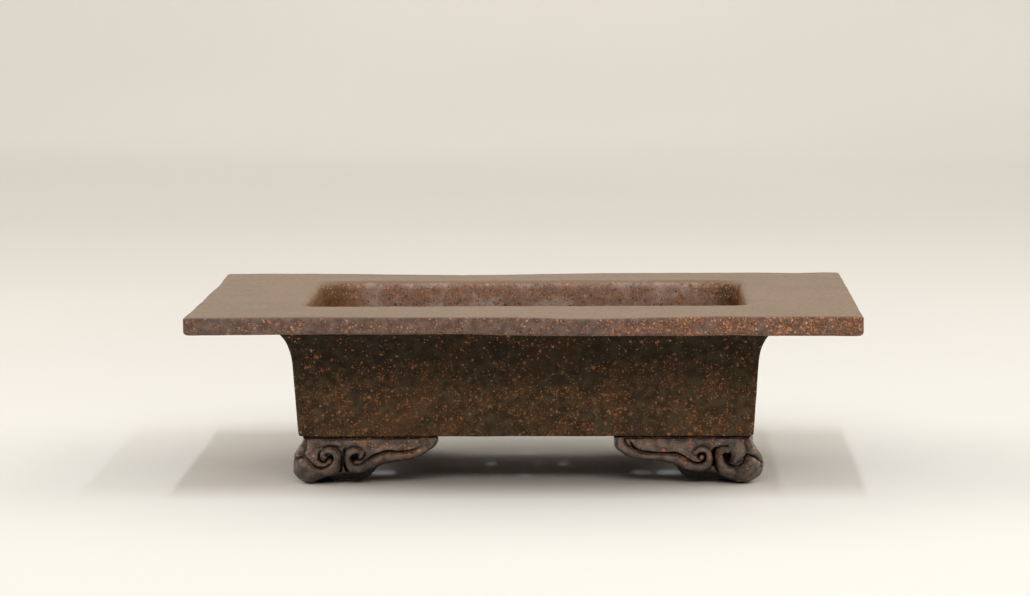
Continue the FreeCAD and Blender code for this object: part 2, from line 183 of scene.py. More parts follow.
def new_object(name, vertices, faces, sharp_angle=SHARP_ANGLE, hollow=None):
    """Makes a mesh object with outward normals, smooth except where it turns sharply.  `hollow`
    gives each vertex's painted shade for the material: how deep in a groove it lies, or underneath."""
    mesh = bpy.data.meshes.new(name)
    mesh.from_pydata(vertices.tolist(), [], faces)
    if hollow is not None:
        mesh.attributes.new("hollow", "FLOAT", "POINT").data.foreach_set("value", hollow)
    work = bmesh.new()
    work.from_mesh(mesh)
    bmesh.ops.remove_doubles(work, verts=work.verts, dist=1e-6)
    bmesh.ops.recalc_face_normals(work, faces=work.faces)
    work.to_mesh(mesh)
    work.free()
    mesh.shade_smooth()
    mesh.set_sharp_from_angle(angle=sharp_angle)
    piece = bpy.data.objects.new(name, mesh)
    bpy.context.collection.objects.link(piece)
    return piece


def quad(row, column, below, beside, columns):
    return (row * columns + column, row * columns + beside,
            below * columns + beside, below * columns + column)


def strip_faces(rows, columns):
    """Faces of a grid whose rows close on themselves, with caps on its two ends."""
    faces = [quad(row, column, (row + 1) % rows, column + 1, columns)
             for row in range(rows) for column in range(columns - 1)]
    faces.append([row * columns for row in range(rows)])
    faces.append([row * columns + columns - 1 for row in reversed(range(rows))])
    return faces


def tube_faces(rows, columns):
    """Faces of a grid whose columns close on themselves, with its first and last row capped."""
    faces = [quad(row, column, row + 1, (column + 1) % columns, columns)
             for row in range(rows - 1) for column in range(columns)]
    faces.append(list(range(columns)))
    faces.append([(rows - 1) * columns + column for column in reversed(range(columns))])
    return faces


def arc(centre, radius, start_degrees, end_degrees, count):
    """Points of an arc in the (reach, height) plane, both ends included."""
    angles = np.radians(np.linspace(start_degrees, end_degrees, count))
    return [(centre[0] + radius * math.cos(a), centre[1] + radius * math.sin(a)) for a in angles]


def line(start, end, count):
    """Inner points of a line, without its ends."""
    steps = np.linspace(0.0, 1.0, count + 2)[1:-1]
    return [(start[0] + (end[0] - start[0]) * t, start[1] + (end[1] - start[1]) * t) for t in steps]


def joined(points, spacing):
    """Adds points to the long gaps of a closed profile, so that its grid stays even."""
    dense = []
    for start, end in zip(points, points[1:] + points[:1]):
        gap = math.dist(start, end)
        dense.append(start)
        dense.extend(line(start, end, int(gap / spacing)))
    return dense


CORNER_STEPS = 6                # grid steps in half of a corner, and along the straight sides
LONG_STEPS = 168
SHORT_STEPS = 120


def side_path(reach, corner_radius, run, straight_steps):
    """Along and out coordinates of one side of a ring, from mid-corner to mid-corner."""
    half = run + reach - corner_radius
    along = [half * t for t in np.linspace(-1.0, 1.0, straight_steps + 1)]
    out = [reach] * len(along)
    for step in range(1, CORNER_STEPS + 1):
        turn = math.radians(45.0 * step / CORNER_STEPS)
        further = half + corner_radius * math.sin(turn)
        back = reach - corner_radius * (1.0 - math.cos(turn))
        along = [-further] + along + [further]
        out = [back] + out + [back]
    return np.array(along), np.array(out)


def place_side(side, along, out):
    """X and Y of along and out coordinates on a named side."""
    if side == "front":
        return along, -out
    if side == "back":
        return -along, out
    if side == "right":
        return EXCESS + out, along
    return -(EXCESS + out), -along


def side_grid(side, profile, radii, straight_steps):
    """Grid of points, rows by columns, of a profile carried along one side."""
    run = EXCESS if side in ("front", "back") else 0.0
    rows = []
    for (reach, height), radius in zip(profile, radii):
        along, out = side_path(reach, radius, run, straight_steps)
        x, y = place_side(side, along, out)
        rows.append(np.stack([x, y, np.full_like(x, height)], axis=-1))
    return np.array(rows)


def strip_piece(name, side, profile, radii):
    """A closed strip of clay along one side, mitred at its ends."""
    straight_steps = LONG_STEPS if side in ("front", "back") else SHORT_STEPS
    grid = clay_surface(side_grid(side, profile, radii, straight_steps))
    rows, columns, _ = grid.shape
    return new_object(name, grid.reshape(-1, 3), strip_faces(rows, columns))


# ---------------------------------------------------------------- lip and walls

LIP_INNER_ROUND = 5.2 * MM
LIP_TOP_ROUND = 1.5 * MM
LIP_BOTTOM_ROUND = 2.4 * MM
LIP_CORNER_RADIUS = 2.4 * MM
OPENING_CORNER_RADIUS = 15.0 * MM
INNER_FOOT_CORNER_RADIUS = 3.0 * MM
BODY_CORNER_RADIUS = 2.0 * MM
FLARE_RISE = 25.0 * MM
FLARE_RUN = 16.5 * MM
FLARE_POWER = 2.35              # how late the flare turns outwards
WALL_LEVELS = 56
WALL_CROWDING = 2.4             # how much the wall's levels crowd up under the lip
INNER_BLEND = 4.0 * MM          # depth in the wall over which outer corners become inner ones
LIP_GRID_STEP = 2.4 * MM
WALL_GRID_STEP = 2.6 * MM


def wall_reach(height):
    """Outer face of the wall: a straight lean plus a cove that turns out under the lip."""
    turn = min(1.0, max(0.0, 1.0 + (height - LIP_UNDERSIDE) / FLARE_RISE))
    flare = FLARE_RUN * (1.0 - math.sqrt(1.0 - turn ** FLARE_POWER))
    return CORNER_Y + (height - BODY_BOTTOM) * WALL_LEAN + flare


def lip_profile():
    outer_top = LIP_EDGE_BOTTOM + LIP_THICKNESS
    bullnose = (OPENING_REACH + LIP_INNER_ROUND, LIP_TOP - LIP_INNER_ROUND)
    points = [(OPENING_REACH, LIP_UNDERSIDE)]
    points += arc(bullnose, LIP_INNER_ROUND, 180, 90, 12)
    points += arc((LIP_REACH - LIP_TOP_ROUND, outer_top - LIP_TOP_ROUND), LIP_TOP_ROUND, 90, 4, 7)
    points += arc((LIP_REACH - LIP_BOTTOM_ROUND, LIP_EDGE_BOTTOM + LIP_BOTTOM_ROUND),
                  LIP_BOTTOM_ROUND, -4, -90, 8)
    droop = (LIP_UNDERSIDE - LIP_EDGE_BOTTOM) / (LIP_REACH - OPENING_REACH)
    wall_top = wall_reach(LIP_UNDERSIDE)
    points += [(wall_top, LIP_UNDERSIDE - droop * (wall_top - OPENING_REACH))]
    return joined(points, LIP_GRID_STEP)


def lip_radii(profile):
    span = LIP_REACH - OPENING_REACH
    return [OPENING_CORNER_RADIUS + (LIP_CORNER_RADIUS - OPENING_CORNER_RADIUS)
            * (reach - OPENING_REACH) / span for reach, _ in profile]


def wall_profile():
    shares = np.linspace(1.0, 0.0, WALL_LEVELS) ** WALL_CROWDING
    heights = LIP_UNDERSIDE - (LIP_UNDERSIDE - FLOOR_TOP) * shares
    points = [(wall_reach(height), height) for height in heights]
    points += [(OPENING_REACH, LIP_UNDERSIDE), (INNER_FOOT_REACH, FLOOR_TOP)]
    return joined(points, WALL_GRID_STEP)


def wall_radii(profile):
    radii = []
    for reach, height in profile:
        outer = wall_reach(height)
        rise = (height - FLOOR_TOP) / (LIP_UNDERSIDE - FLOOR_TOP)
        inner_radius = (INNER_FOOT_CORNER_RADIUS
                        + (OPENING_CORNER_RADIUS - INNER_FOOT_CORNER_RADIUS) * rise ** 2)
        inside = min(1.0, max(0.0, (outer - reach) / INNER_BLEND))
        radii.append(BODY_CORNER_RADIUS + (inner_radius - BODY_CORNER_RADIUS) * inside)
    return radii


def make_strips(clay, lip_clay):
    profile = lip_profile()
    for side in SIDES:
        lip = strip_piece(f"clay_lip_{side}", side, profile, lip_radii(profile))
        finish_piece(lip, lip_clay, f"lip_{side}")
    profile = wall_profile()
    for side in SIDES:
        wall = strip_piece(f"clay_wall_{side}", side, profile, wall_radii(profile))
        finish_piece(wall, clay, f"wall_{side}")


def finish_piece(piece, material, node):
    """Gives a piece its material, hangs it on the root and hides the CAD node it stands for."""
    piece.data.materials.append(material)
    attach(piece, "root")
    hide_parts(node)


# ---------------------------------------------------------------- floor slab

FLOOR_EDGE_ROUND = 1.6 * MM
HOLE_EDGE_ROUND = 1.4 * MM
HOLE_STEPS = 48
CUTTER_OVERRUN = 3.0 * MM
FLOOR_RINGS = 22
FLOOR_MIDDLE = 3.0 * MM         # reach of the smallest ring
FLOOR_LONG_STEPS = 72
FLOOR_SHORT_STEPS = 44
DRAIN_RADIUS = 8.0 * MM
WIRE_RADIUS = 3.8 * MM
DRAIN_HOLES = [(x * 87.0 * MM, y * 41.0 * MM, DRAIN_RADIUS) for x in (-1, 1) for y in (-1, 1)]
WIRE_HOLES = ([(x * 22.5 * MM, 0.0, WIRE_RADIUS) for x in (-1, 1)]
              + [(0.0, y * 54.0 * MM, WIRE_RADIUS) for y in (-1, 1)])


def hole_cutter(x, y, radius):
    """A spool whose ends flare by a quarter circle, so that the cut hole has soft edges."""
    widest = radius + HOLE_EDGE_ROUND
    bottom = arc((widest, BODY_BOTTOM + HOLE_EDGE_ROUND), HOLE_EDGE_ROUND, 270, 180, 6)
    top = arc((widest, FLOOR_TOP - HOLE_EDGE_ROUND), HOLE_EDGE_ROUND, 180, 90, 6)
    profile = [(bottom[0][0], BODY_BOTTOM - CUTTER_OVERRUN), *bottom, *top,
               (top[-1][0], FLOOR_TOP + CUTTER_OVERRUN)]
    angles = np.linspace(0.0, 2.0 * math.pi, HOLE_STEPS, endpoint=False)
    grid = np.array([np.stack([x + ring * np.cos(angles), y + ring * np.sin(angles),
                               np.full(HOLE_STEPS, height)], axis=-1)
                     for ring, height in profile])
    return new_object("cutter", grid.reshape(-1, 3), tube_faces(len(profile), HOLE_STEPS))


def ring_grid(profile, radii, long_steps, short_steps):
    """Grid of a profile carried right round the pot: rows by columns, columns closed."""
    sides = []
    for side in ("front", "right", "back", "left"):
        steps = long_steps if side in ("front", "back") else short_steps
        sides.append(side_grid(side, profile, radii, steps)[:, :-1])
    return np.concatenate(sides, axis=1)


def make_floor(clay):
    """Floor slab: rings from its middle over the outer edge and back underneath, so that the
    faces stay fine enough to carry the hand-made unevenness, then the holes are cut."""
    edge_top = wall_reach(FLOOR_TOP)
    corner = (CORNER_Y - FLOOR_EDGE_ROUND, BODY_BOTTOM + FLOOR_EDGE_ROUND)
    outside = [(edge_top, FLOOR_TOP)] + arc(corner, FLOOR_EDGE_ROUND, 0, -90, 7)
    inward = list(np.linspace(CORNER_Y - FLOOR_EDGE_ROUND, FLOOR_MIDDLE, FLOOR_RINGS))
    profile = [(reach, FLOOR_TOP) for reach in reversed(inward)] + outside
    profile += [(reach, BODY_BOTTOM) for reach in inward[1:]]
    radii = [min(BODY_CORNER_RADIUS, reach * 0.5) for reach, _ in profile]
    grid = clay_surface(ring_grid(profile, radii, FLOOR_LONG_STEPS, FLOOR_SHORT_STEPS))
    rows, columns, _ = grid.shape
    floor = new_object("clay_floor", grid.reshape(-1, 3), tube_faces(rows, columns))
    for hole in DRAIN_HOLES + WIRE_HOLES:
        cutter = hole_cutter(*hole)
        cut = floor.modifiers.new("hole", "BOOLEAN")
        cut.operation = "DIFFERENCE"
        cut.solver = "EXACT"
        cut.object = cutter
        with bpy.context.temp_override(object=floor, active_object=floor):
            bpy.ops.object.modifier_apply(modifier=cut.name)
        bpy.data.objects.remove(cutter)
    floor.data.set_sharp_from_angle(angle=SHARP_ANGLE)
    finish_piece(floor, clay, "floor_slab")


# ---------------------------------------------------------------- inside corner coils

COIL_RADIUS = 9.0 * MM          # hollow of the coil, in plan
COIL_CENTRE = 8.8 * MM          # its centre, in from the walls' inner faces
COIL_TUCK = 0.55 * MM           # how far the centre moves out under the lip
COIL_BACK = -0.7 * MM           # the coil is pressed this far into the walls
COIL_BURIED = 0.2 * MM          # and into the floor
COIL_OVERRUN = 1.0 * MM         # and into the lip
COIL_LEVELS = 40
COIL_TURNS = np.radians(np.linspace(180.0, 270.0, 14))


def coil_outline(rise):
    """Plan outline at a share of the coil's height, as distances in from the corner."""
    centre = COIL_CENTRE - COIL_TUCK * rise ** 3
    inner = [(centre + COIL_RADIUS * math.cos(turn), centre + COIL_RADIUS * math.sin(turn))
             for turn in COIL_TURNS]
    return [(COIL_BACK, centre), *inner, (centre, COIL_BACK), (COIL_BACK, COIL_BACK)]


def make_corner_coils(clay):
    """A coil pressed into each upright inside corner: hollow in plan, dying into the lip."""
    heights = np.linspace(FLOOR_TOP - COIL_BURIED, LIP_UNDERSIDE + COIL_OVERRUN, COIL_LEVELS)
    for corner, x_sign, y_sign in CORNERS:
        rows = []
        for height in heights:
            rise = (height - FLOOR_TOP) / (LIP_UNDERSIDE - FLOOR_TOP)
            reach = INNER_FOOT_REACH + (OPENING_REACH - INNER_FOOT_REACH) * rise
            rows.append([((EXCESS + reach - x_in) * x_sign, (reach - y_in) * y_sign, height)
                         for x_in, y_in in coil_outline(rise)])
        grid = np.swapaxes(clay_surface(np.array(rows)), 0, 1)
        count, levels, _ = grid.shape
        coil = new_object(f"clay_coil_{corner}", grid.reshape(-1, 3), strip_faces(count, levels))
        finish_piece(coil, clay, f"corner_coil_{corner}")


# ---------------------------------------------------------------- feet

FOOT_DEPTH = 17.0 * MM          # back of a wing, in from the body's face
FOOT_CORNER_RADIUS = 10.0 * MM  # plan rounding of the outer corner
FOOT_INNER_RADIUS = 5.0 * MM
WING_END_ROUND = 3.2 * MM
WING_NOMINAL = 84.2             # wing length that the drawings below are made for
SCROLL_END = 38.0               # the scrolls keep their size; only the rest of a wing is scaled
FOOT_COLUMN_STEP = 0.46 * MM
FACE_ROWS, UNDER_ROWS, BACK_ROWS, TOP_ROWS = 96, 12, 14, 6
EDGE_ROUND = 2.8                # mm, rounding of the face's lower edge
EDGE_STAND = -6.0               # mm, how far back the lower edge lies
GROOVE_SPREAD = (6, 4)          # rows and columns that a groove is compared with
GROOVE_DEPTH = 1.5              # mm, depth at which a groove's painted shade is darkest
UNDERSIDE_SHADE = 0.7           # painted shade on soles and backs, like that in the grooves
HEEL_DROP = 0.75                # share of the sole's height that the heel takes up
CUT_GAIN, CUT_WIDTH = 1.15, 0.62
FOOT_DENTS = (0.30 * MM, 6.0 * MM)
FOOT_GRAIN = (0.20 * MM, 2.2 * MM)
FIXED_LAYER = 2.0 * MM          # the dents grow from nothing at the ground over this height

# Drawings of the carved faces, in millimetres.  The first two numbers of a point are the distance
# in from the body's corner and the height above the ground.
#   swell   height, and least stand-out of the lobe and the corner's side
#   sole    height of the underside
#   rolls   rounded ridges: radius, and how far the crest stands out of the body's face
#   skirts  the face turning outwards as it comes down to a roll: rise
#   cuts    sharp incised lines: depth
#   pits    eyes of the scrolls: radius and depth
#   knobs   ends of the scrolls: radius and crest
CALM_FOOT = {
    "neck": 4.4, "tip_rise": 3.2, "lobe_round": 7.4, "seed": 101,
    "swell": [(0.0, 2.6), (6.3, 3.6), (11.1, 4.2), (17.8, 3.0), (23.9, -0.9), (28.3, -4.2)],
    "sole": [(0.0, 0.0), (8.5, 0.0), (12.2, 2.0), (16.5, 3.9), (21.5, 4.8), (25.6, 5.8),
             (32.3, 5.9), (37.7, 6.4), (41.6, 7.8), (45.7, 9.8), (52.4, 11.9), (59.0, 13.3),
             (69.2, 14.9), (75.9, 17.7), (81.2, 21.7), (83.6, 24.2), (84.2, 26.0)],
    "rolls": [
        [(0.0, 10.6, 6.6, 4.0), (6.0, 8.2, 6.1, 3.8), (12.0, 6.2, 4.9, 3.2), (17.0, 6.6, 4.5, 3.0),
         (20.6, 9.0, 3.6, 3.0), (22.8, 12.0, 2.8, 2.9), (23.5, 15.0, 2.3, 2.6),
         (23.2, 18.0, 2.1, 2.0), (21.0, 20.1, 1.9, 1.2), (17.5, 20.6, 1.7, 0.4),
         (14.9, 19.0, 1.4, -0.3), (14.6, 16.9, 1.3, -0.8), (16.4, 16.4, 1.2, -1.2)],
        [(81.0, 28.6, 3.2, 0.7), (80.4, 25.0, 3.2, 0.8), (77.0, 21.4, 3.0, 0.8),
         (71.0, 18.7, 2.6, 0.8), (64.0, 17.3, 2.3, 0.8), (59.0, 17.3, 2.4, 0.9),
         (53.8, 16.9, 2.8, 1.0), (48.8, 15.5, 3.0, 1.2), (43.3, 12.9, 3.1, 1.6),
         (39.0, 10.4, 3.1, 2.0), (35.0, 9.4, 2.9, 2.2), (31.7, 10.8, 2.6, 2.2),
         (29.9, 13.6, 2.2, 2.0), (29.6, 16.8, 2.0, 1.6), (31.3, 19.5, 1.8, 1.0),
         (34.3, 20.6, 1.7, 0.4), (37.3, 19.7, 1.5, -0.2), (38.4, 17.9, 1.3, -0.7),
         (37.3, 16.5, 1.1, -1.2)]],
    "skirts": [
        [(0.0, 16.9, 2.2), (5.8, 14.4, 3.0), (9.4, 12.2, 3.4), (12.0, 11.0, 3.4),
         (15.0, 10.8, 3.0), (18.0, 12.2, 2.0)],
        [(34.5, 12.0, 2.4), (37.0, 12.9, 2.8), (40.5, 15.2, 2.4), (44.5, 17.6, 1.5),
         (50.0, 19.6, 0.8), (60.0, 20.2, 0.5)]],
    "cuts": [
        [(0.0, 17.0, 0.9), (5.8, 14.3, 1.4), (9.4, 11.9, 1.6), (12.0, 10.8, 1.6),
         (15.0, 10.5, 1.3), (18.0, 11.6, 0.7), (20.5, 13.5, 0.3)],
        [(13.6, 20.4, 0.4), (12.4, 18.2, 1.2), (12.4, 15.9, 1.6), (13.6, 14.0, 1.8),
         (15.6, 13.6, 1.6), (17.0, 14.8, 1.6), (18.6, 16.4, 1.8), (20.4, 16.4, 1.4),
         (21.3, 14.9, 0.8)],
        [(24.2, 20.5, 0.8), (25.2, 17.0, 1.8), (25.4, 12.5, 2.2), (25.6, 8.0, 1.6)],
        [(28.0, 21.5, 0.8), (27.8, 17.0, 1.8), (27.9, 12.5, 2.2), (29.2, 8.0, 1.6)],
        [(33.6, 12.2, 0.6), (36.5, 12.1, 1.2), (39.1, 13.4, 1.4), (43.3, 16.0, 1.6),
         (48.8, 18.6, 1.6), (53.8, 19.9, 1.4), (59.0, 19.7, 1.4), (64.2, 19.4, 1.4),
         (68.0, 20.3, 1.0), (72.0, 22.0, 0.2)],
        [(35.4, 15.0, 1.6), (37.9, 14.9, 1.8), (39.7, 17.0, 1.5), (39.4, 19.0, 0.8)],
        [(9.0, 22.9, 0.3), (16.0, 22.9, 0.6), (22.0, 22.6, 0.6), (29.0, 22.8, 0.5)],
        [(6.0, 26.2, 0.3), (18.0, 26.4, 0.4), (34.0, 26.4, 0.2)]],
    "pits": [(33.6, 16.6, 2.1, 3.6)],
    "knobs": [(18.7, 13.7, 1.5, 0.9), (34.9, 12.9, 1.3, 0.6)],
}
BOLD_FOOT = {
    "neck": 4.2, "tip_rise": 0.0, "lobe_round": 8.4, "seed": 211,
    "swell": [(0.0, 4.6), (7.5, 6.1), (10.8, 6.6), (15.5, 5.3), (21.6, 1.4), (25.6, -0.7),
              (28.3, -3.0)],
    "sole": [(0.0, 0.0), (9.0, 0.0), (12.0, 1.0), (15.5, 2.4), (20.2, 4.7), (25.6, 6.4),
             (34.2, 6.9), (38.9, 7.6), (42.2, 8.9), (46.2, 11.0), (50.3, 12.5), (57.6, 13.4),
             (64.3, 14.0), (71.0, 14.8), (74.3, 15.7), (79.6, 18.9), (83.2, 21.2),
             (84.2, 22.6)],
    "rolls": [
        [(0.0, 10.6, 6.9, 6.4), (5.0, 8.4, 6.0, 5.8), (11.3, 6.4, 5.0, 4.6),
         (16.1, 7.6, 4.2, 4.0), (19.3, 11.0, 3.0, 3.4), (20.6, 14.6, 2.2, 2.8),
         (20.6, 18.0, 1.9, 2.2), (18.8, 20.4, 1.8, 1.4), (15.8, 20.4, 1.5, 0.4)],
        [(81.3, 28.8, 3.4, 1.2), (81.0, 24.4, 3.4, 1.2), (77.2, 20.4, 3.3, 1.2),
         (71.5, 17.9, 3.0, 1.2), (65.0, 16.6, 2.6, 1.2), (58.0, 16.2, 2.6, 1.3),
         (51.0, 15.6, 2.9, 1.5), (45.8, 14.4, 3.3, 1.8), (41.0, 11.9, 3.5, 2.2),
         (36.5, 9.9, 3.2, 2.4), (31.8, 9.6, 3.0, 2.4), (28.2, 11.6, 2.4, 2.2),
         (26.6, 14.8, 2.0, 1.9), (27.0, 18.2, 1.8, 1.4), (29.6, 20.5, 1.7, 0.8),
         (33.0, 20.6, 1.5, 0.2), (35.2, 18.9, 1.3, -0.4)]],
    "skirts": [
        [(0.0, 17.8, 2.0), (3.5, 16.2, 2.8), (6.0, 13.8, 3.4), (8.5, 12.2, 3.6),
         (11.5, 11.8, 3.2), (14.3, 12.6, 2.0)],
        [(33.0, 13.4, 1.8), (38.0, 14.8, 2.2), (42.0, 17.0, 1.8), (48.0, 18.6, 1.0),
         (62.0, 19.4, 0.7)]],
    "cuts": [
        [(0.0, 17.6, 1.2), (3.5, 16.0, 2.6), (5.6, 13.6, 2.8), (8.0, 11.8, 2.4),
         (11.0, 11.1, 2.0), (14.3, 11.7, 1.8), (17.2, 13.4, 1.6)],
        [(15.0, 13.4, 1.6), (13.4, 14.2, 1.6), (12.3, 15.8, 1.4), (11.3, 17.6, 0.7)],
        [(20.6, 21.2, 0.8), (23.4, 20.6, 2.0), (23.7, 16.0, 2.6), (23.6, 11.0, 2.0)],
        [(21.9, 18.6, 1.0), (22.4, 14.0, 1.8), (21.9, 9.0, 1.8), (21.4, 6.4, 1.0)],
        [(74.2, 26.0, 0.6), (73.5, 24.2, 1.4), (71.2, 21.2, 2.0), (67.9, 19.5, 2.0),
         (63.3, 18.9, 1.9), (58.1, 18.6, 1.8), (50.2, 18.5, 1.7), (45.6, 18.0, 1.7),
         (41.7, 16.3, 1.7), (37.8, 14.1, 1.6), (33.1, 12.7, 1.4), (29.6, 13.8, 1.2),
         (28.9, 16.4, 1.6), (29.2, 18.8, 1.4), (31.5, 19.0, 1.2), (33.4, 17.8, 1.2),
         (33.0, 15.6, 0.8)],
        [(20.0, 22.2, 0.8), (17.0, 21.9, 1.2), (15.6, 22.8, 0.6)],
        [(24.0, 26.3, 0.4), (33.0, 26.5, 0.6), (42.0, 26.2, 0.5), (56.0, 26.6, 0.2)]],
    "pits": [(16.7, 16.1, 3.0, 7.0), (30.6, 21.6, 0.9, 0.8)],
    "knobs": [(31.2, 16.0, 1.6, 0.9), (35.6, 19.2, 1.2, 0.3), (17.6, 24.2, 1.2, -2.4)],
}


def curve_through(points, steps=7):
    """Catmull-Rom curve through rows of numbers, ends included."""
    rows = np.array(points, float)
    padded = np.vstack([2 * rows[0] - rows[1], rows, 2 * rows[-1] - rows[-2]])
    out = []
    for number in range(1, len(padded) - 2):
        p0, p1, p2, p3 = padded[number - 1:number + 3]
        for t in np.linspace(0.0, 1.0, steps, endpoint=False):
            out.append(0.5 * (2 * p1 + (p2 - p0) * t + (2 * p0 - 5 * p1 + 4 * p2 - p3) * t ** 2
                              + (3 * p1 - p0 - 3 * p2 + p3) * t ** 3))
    out.append(rows[-1])
    return np.array(out)


def nearest_on_curve(across, up, curve):
    """Distance from each grid point to a polyline, and the curve's other numbers there."""
    best = np.full(across.shape, 1e9)
    facts = [np.zeros(across.shape) for _ in range(curve.shape[1] - 2)]
    for first, second in zip(curve[:-1], curve[1:]):
        step = second[:2] - first[:2]
        length = max(float(step @ step), 1e-12)
        t = np.clip(((across - first[0]) * step[0] + (up - first[1]) * step[1]) / length, 0, 1)
        gap = np.hypot(across - first[0] - step[0] * t, up - first[1] - step[1] * t)
        nearer = gap < best
        best = np.where(nearer, gap, best)
        for number in range(len(facts)):
            value = first[number + 2] + (second[number + 2] - first[number + 2]) * t
            facts[number] = np.where(nearer, value, facts[number])
    return best, facts


def soft_max(first, second, blend):
    """The larger of two heights, with the crease between them filled a little."""
    share = np.clip(0.5 + 0.5 * (first - second) / blend, 0.0, 1.0)
    return second + (first - second) * share + blend * share * (1.0 - share)


def drawn_distance(inward, wing_length):
    """Distance along a drawing for a place on a wing that may be shorter than the drawn one."""
    stretch = (WING_NOMINAL - SCROLL_END) / (wing_length / MM - SCROLL_END)
    inward_mm = inward / MM
    return np.where(inward_mm > SCROLL_END,
                    SCROLL_END + (inward_mm - SCROLL_END) * stretch, inward_mm)


def swelling(along, up, drawing):
    """Least stand-out of the rounded corner lobe and of the swollen side above it, in mm.
    `along` is negative on the side wing."""
    heights, stands = zip(*drawing["swell"])
    full = np.interp(up, heights, stands)
    side = smoothstep(1.0, -5.0, along) * smoothstep(-34.0, -23.0, along)
    lobe = smoothstep(-16.0, -10.0, along) * smoothstep(16.0, 9.0, along)
    lobe = lobe * smoothstep(15.0, 9.5, up)
    return full - 0.2 - 9.0 * (1.0 - np.maximum(side, lobe))


def blurred(grid, rows, columns):
    """Box average of a grid, twice over, with its borders repeated."""
    for _ in range(2):
        for axis, reach in ((0, rows), (1, columns)):
            padding = [(reach + 1, reach) if a == axis else (0, 0) for a in (0, 1)]
            total = np.cumsum(np.pad(grid, padding, mode="edge"), axis=axis)
            size = grid.shape[axis]
            high = np.take(total, np.arange(2 * reach + 1, 2 * reach + 1 + size), axis=axis)
            low = np.take(total, np.arange(size), axis=axis)
            grid = (high - low) / (2 * reach + 1)
    return grid


def ridge(gap, radius, crest):
    """A round ridge or dome seen across, falling away steeply beyond its radius."""
    height = crest - radius + np.sqrt(np.clip(radius ** 2 - gap ** 2, 0.0, None))
    return height - 6.0 * np.clip(gap - radius, 0.0, 3.0)


def foot_relief(inward, up, along, drawing):
    """How far a carved face stands out of the body's face, at drawn distances and heights."""
    face = np.interp(up, (6.0, 12.0, 20.0, 28.3), (-1.6, -2.2, -3.2, -drawing["neck"]))
    face = face + drawing["tip_rise"] * smoothstep(66.0, 80.0, inward)
    for skirt in drawing["skirts"]:
        gap, (rise,) = nearest_on_curve(inward, up, curve_through(skirt))
        face = face + rise * np.exp(-gap / 2.3)
    face = soft_max(face, swelling(along, up, drawing), 1.2)
    for across, height, radius, depth in drawing["pits"]:
        reach = np.hypot(inward - across, up - height) / radius
        face = face - depth * np.exp(-reach ** 4)
    relief = face
    for roll in drawing["rolls"]:
        gap, (radius, crest) = nearest_on_curve(inward, up, curve_through(roll))
        relief = soft_max(ridge(gap, radius, crest), relief, 0.5)
    for across, height, radius, crest in drawing["knobs"]:
        gap = np.hypot(inward - across, up - height)
        relief = soft_max(ridge(gap, radius, crest), relief, 0.4)
    for cut in drawing["cuts"]:
        gap, (depth,) = nearest_on_curve(inward, up, curve_through(cut))
        relief = relief - CUT_GAIN * depth * np.exp(-(gap / CUT_WIDTH) ** 2)
    return relief


def sole_height(inward, drawing):
    distances, heights = zip(*drawing["sole"])
    return np.interp(inward, distances, heights)


def smoothed(values, width):
    """Running average that keeps the ends."""
    kernel = np.hanning(width * 2 + 3)[1:-1]
    kernel /= kernel.sum()
    padded = np.concatenate([np.full(width, values[0]), values, np.full(width, values[-1])])
    return np.convolve(padded, kernel, mode="valid")


def foot_columns(side_wing, front_wing):
    """Places along the foot, from the end of the side wing, round the corner, to the end of the
    front wing.  They crowd together at the rounded ends."""
    ends = WING_END_ROUND * np.array([0.02, 0.06, 0.12, 0.2, 0.3, 0.42, 0.56, 0.72, 0.9])
    middle = np.arange(-side_wing + WING_END_ROUND, front_wing - WING_END_ROUND,
                       FOOT_COLUMN_STEP)
    return np.concatenate([-side_wing + ends, middle, (front_wing - ends)[::-1]])


def bent_line(along, radius, stand_out):
    """Distances in from the body's corner along X and Y of a line that turns the corner."""
    turn = np.clip((radius - along) / (2 * radius), 0, 1) * math.pi / 2
    x_in = np.where(along >= 0, np.maximum(along, radius), radius)
    y_in = np.where(along < 0, np.maximum(-along, radius), radius)
    return x_in - (radius + stand_out) * np.sin(turn), y_in - (radius + stand_out) * np.cos(turn)


def foot_plan(along, stand_out, depth_share):
    """Plan position, as distances in from the body's corner along X and Y.  depth_share is 0 on
    the outer face, which stands out by stand_out, and 1 on the inner face."""
    outer = bent_line(along, FOOT_CORNER_RADIUS, stand_out)
    inner = bent_line(along, FOOT_DEPTH + FOOT_INNER_RADIUS, -FOOT_DEPTH)
    return [face + (back - face) * depth_share for face, back in zip(outer, inner)]


def carved_face(columns, drawn, low, drawing):
    """Heights, stand-outs and painted groove shade over the grid of a carved face."""
    down = np.linspace(0.0, 1.0, FACE_ROWS)
    share = np.sin(down * math.pi / 2) * 0.4 + down * 0.6
    heights = FOOT_TOP - (FOOT_TOP - low)[None, :] * share[:, None]
    above_edge = (heights - low) / MM
    stand = foot_relief(np.broadcast_to(drawn, heights.shape), heights / MM,
                        np.broadcast_to(columns / MM, heights.shape), drawing)
    # painted shade: darker where the face lies below its local average, and along its lowest edge
    hollow = np.clip((blurred(stand, *GROOVE_SPREAD) - stand) / GROOVE_DEPTH, 0.0, 1.0)
    hollow = np.maximum(hollow, UNDERSIDE_SHADE * smoothstep(2.6, 0.4, above_edge))

    at_lobe = smoothstep(26.0, 12.0, drawn)
    edge_round = EDGE_ROUND + (drawing["lobe_round"] - EDGE_ROUND) * at_lobe
    edge_stand = EDGE_STAND - 1.0 * at_lobe
    rise = np.clip(above_edge / edge_round, 0.0, 1.0)
    roundness = np.sqrt(1.0 - (1.0 - rise) ** 2)
    return heights, (edge_stand + (stand - edge_stand) * roundness) * MM, hollow


